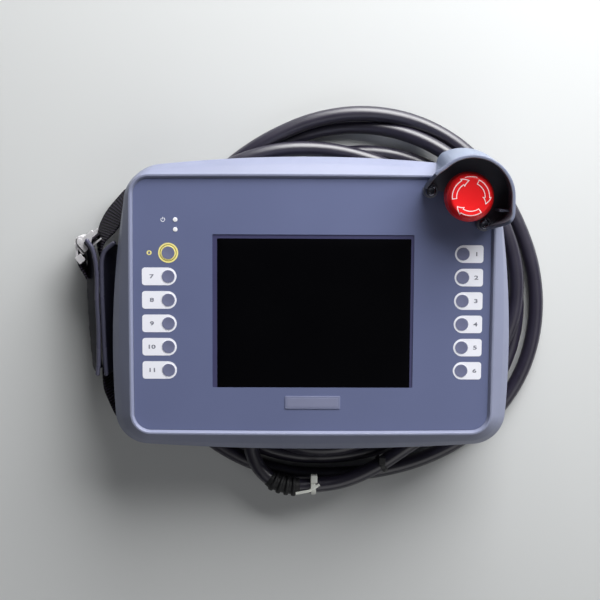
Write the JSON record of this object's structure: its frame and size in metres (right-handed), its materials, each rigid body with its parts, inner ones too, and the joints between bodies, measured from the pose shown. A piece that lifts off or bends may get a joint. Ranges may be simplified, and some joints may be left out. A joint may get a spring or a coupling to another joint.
{
  "type": "handheld operator touch panel",
  "caption": "Handheld machine operator panel with a touch screen, side key columns, guarded mushroom stop button, padded hand strap and coiled cable.",
  "frame": {"origin": "middle of the flat back of the rear block, below the middle of the front sheet", "axes": "+Z out of the screen, +X to the right of the screen, +Y towards its top edge; the panel lies on its back"},
  "size_m": [0.302, 0.2553, 0.088],
  "materials": {
    "housing": "fine moulded texture",
    "front_sheet": "satin printed overlay",
    "screen_glass": "clear, satin hard coat",
    "display": "dark, switched off",
    "circuit_board": "solder mask",
    "lamp": "milky",
    "seal": "matt",
    "steel": "zinc plated",
    "brass": "plain",
    "black_plastic": "satin",
    "stop_red": "satin gloss",
    "guard": "fine moulded texture",
    "black_steel": "black oxide",
    "lever": "grained",
    "webbing": "ribbed weave",
    "pad_vinyl": "grained vinyl",
    "bright_steel": "nickel plated",
    "key_cap": "satin",
    "cable": "smooth jacket",
    "sleeve": "moulded",
    "white_nylon": "nylon",
    "plug_metal": "nickel plated"
  },
  "bodies": {
    "panel": {"front_bezel": "housing", "front_sheet": "front_sheet", "touch_glass": "screen_glass", "display_module": "display", "key_board": "circuit_board", "status_lamps": "lamp", "housing_gasket": "seal", "rear_cover": "housing", "rear_block": "housing", "cover_screws": "steel", "threaded_inserts": "brass", "main_board": "circuit_board", "board_screws": "steel", "stop_body": "black_plastic", "stop_nut": "steel", "stop_contact_block": "black_plastic", "stop_guard": "guard", "hood_base": "guard", "guard_screws": "black_steel", "lever_pin": "steel", "enabling_switch": "black_plastic", "upper_strap_bracket": "steel", "lower_strap_bracket": "steel", "bracket_screws": "steel", "strap_webbing": "webbing", "strap_pad_outer": "pad_vinyl", "strap_pad_inner": "pad_vinyl", "buckle_frame": "bright_steel", "cam_pin": "steel", "strap_tail": "webbing", "gland_body": "black_plastic", "gland_nut": "black_plastic", "gland_locknut": "black_plastic", "cable_lead": "cable", "cable_coil": "cable", "cable_end": "cable", "ribbed_sleeve": "sleeve", "white_tie": "white_nylon", "black_tie": "black_plastic", "cable_plug": "plug_metal"},
    "operation_key": {"operation_key": "key_cap"},
    "key_01": {"key_01": "key_cap"},
    "key_02": {"key_02": "key_cap"},
    "key_03": {"key_03": "key_cap"},
    "key_04": {"key_04": "key_cap"},
    "key_05": {"key_05": "key_cap"},
    "key_06": {"key_06": "key_cap"},
    "key_07": {"key_07": "key_cap"},
    "key_08": {"key_08": "key_cap"},
    "key_09": {"key_09": "key_cap"},
    "key_10": {"key_10": "key_cap"},
    "key_11": {"key_11": "key_cap"},
    "stop_plunger": {"stop_spindle": "black_plastic"},
    "stop_button": {"stop_head": "stop_red"},
    "enabling_lever": {"enabling_lever": "lever"},
    "enabling_plunger": {"enabling_plunger": "black_plastic"},
    "buckle_cam": {"buckle_cam": "bright_steel"}
  },
  "joints": [
    {"name": "operation_key_press", "type": "slide", "parent": "panel", "child": "operation_key", "axis": [0, 0, -1], "range_m": [0, 0.0006], "stiffness_N_per_m": 3000},
    {"name": "key_01_press", "type": "slide", "parent": "panel", "child": "key_01", "axis": [0, 0, -1], "range_m": [0, 0.0006], "stiffness_N_per_m": 3000},
    {"name": "key_02_press", "type": "slide", "parent": "panel", "child": "key_02", "axis": [0, 0, -1], "range_m": [0, 0.0006], "stiffness_N_per_m": 3000},
    {"name": "key_03_press", "type": "slide", "parent": "panel", "child": "key_03", "axis": [0, 0, -1], "range_m": [0, 0.0006], "stiffness_N_per_m": 3000},
    {"name": "key_04_press", "type": "slide", "parent": "panel", "child": "key_04", "axis": [0, 0, -1], "range_m": [0, 0.0006], "stiffness_N_per_m": 3000},
    {"name": "key_05_press", "type": "slide", "parent": "panel", "child": "key_05", "axis": [0, 0, -1], "range_m": [0, 0.0006], "stiffness_N_per_m": 3000},
    {"name": "key_06_press", "type": "slide", "parent": "panel", "child": "key_06", "axis": [0, 0, -1], "range_m": [0, 0.0006], "stiffness_N_per_m": 3000},
    {"name": "key_07_press", "type": "slide", "parent": "panel", "child": "key_07", "axis": [0, 0, -1], "range_m": [0, 0.0006], "stiffness_N_per_m": 3000},
    {"name": "key_08_press", "type": "slide", "parent": "panel", "child": "key_08", "axis": [0, 0, -1], "range_m": [0, 0.0006], "stiffness_N_per_m": 3000},
    {"name": "key_09_press", "type": "slide", "parent": "panel", "child": "key_09", "axis": [0, 0, -1], "range_m": [0, 0.0006], "stiffness_N_per_m": 3000},
    {"name": "key_10_press", "type": "slide", "parent": "panel", "child": "key_10", "axis": [0, 0, -1], "range_m": [0, 0.0006], "stiffness_N_per_m": 3000},
    {"name": "key_11_press", "type": "slide", "parent": "panel", "child": "key_11", "axis": [0, 0, -1], "range_m": [0, 0.0006], "stiffness_N_per_m": 3000},
    {"name": "stop_press", "type": "slide", "parent": "panel", "child": "stop_plunger", "axis": [0, 0, -1], "range_m": [0, 0.004]},
    {"name": "stop_turn", "type": "hinge", "parent": "stop_plunger", "child": "stop_button", "pos_m": [0.0929, 0.068, 0.07], "axis": [0, 0, -1], "range_deg": [0, 45], "stiffness_Nm_per_rad": 0.12},
    {"name": "enabling_press", "type": "hinge", "parent": "panel", "child": "enabling_lever", "pos_m": [-0.063, 0, 0.0075], "axis": [0, 1, 0], "range_deg": [0, 7], "stiffness_Nm_per_rad": 1.2},
    {"name": "plunger_push", "type": "slide", "parent": "panel", "child": "enabling_plunger", "axis": [1, 0, 0], "range_m": [0, 0.0018]},
    {"name": "cam_open", "type": "hinge", "parent": "panel", "child": "buckle_cam", "pos_m": [-0.1456, 0.0375, 0.019], "axis": [0, 0, -1], "range_deg": [0, 60], "stiffness_Nm_per_rad": 0.05}
  ],
  "couplings": [
    {"joint": "plunger_push", "follows": "enabling_press", "m_per_rad": 0.0145}
  ]
}
